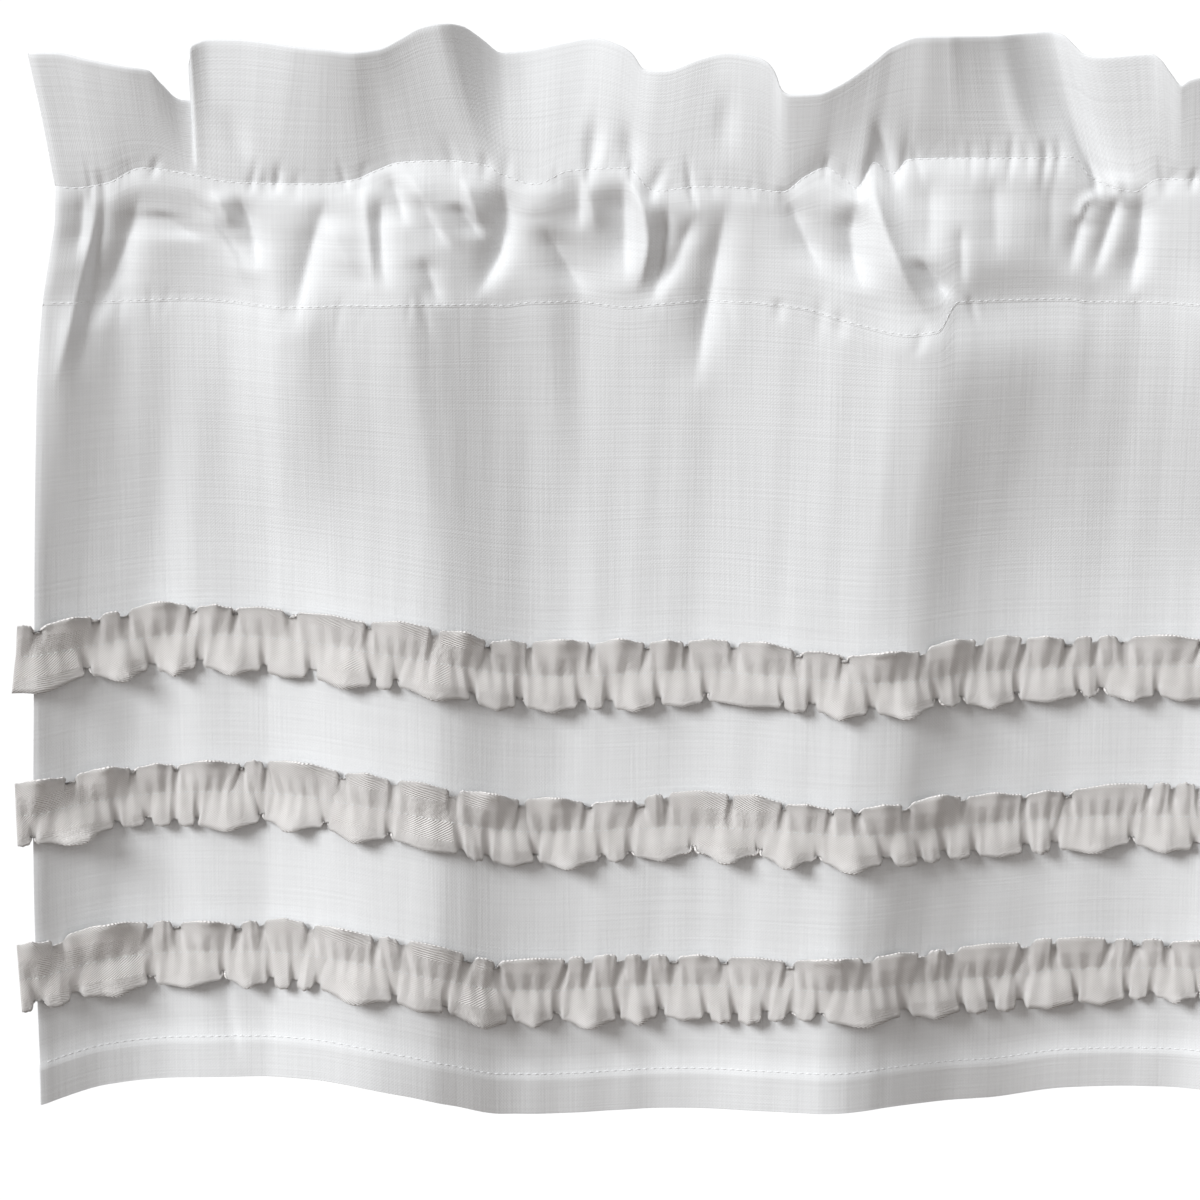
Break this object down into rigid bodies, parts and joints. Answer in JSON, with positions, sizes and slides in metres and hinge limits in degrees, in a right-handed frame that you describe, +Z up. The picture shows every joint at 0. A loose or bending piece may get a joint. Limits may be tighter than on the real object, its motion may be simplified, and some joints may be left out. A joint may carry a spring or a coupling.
{
  "type": "window valance",
  "caption": "Short cotton valance gathered on a rod pocket, with a ruffled header, a softly folded skirt and rows of ruffled tape trim above the hem.",
  "frame": {"origin": "middle of the header's top edge, where the hung valance is held up", "axes": "+X along the valance to the right as seen from the room, +Z up, -Y towards the room"},
  "size_m": [1.0617, 0.0493, 0.4009],
  "materials": {
    "cloth": "plain weave of slub cotton, matt",
    "tape": "herringbone twill tape, matt"
  },
  "bodies": {
    "root": {"heading": "cloth", "panel": "cloth", "trim_upper": "tape", "trim_middle": "tape", "trim_lower": "tape"}
  },
  "joints": []
}
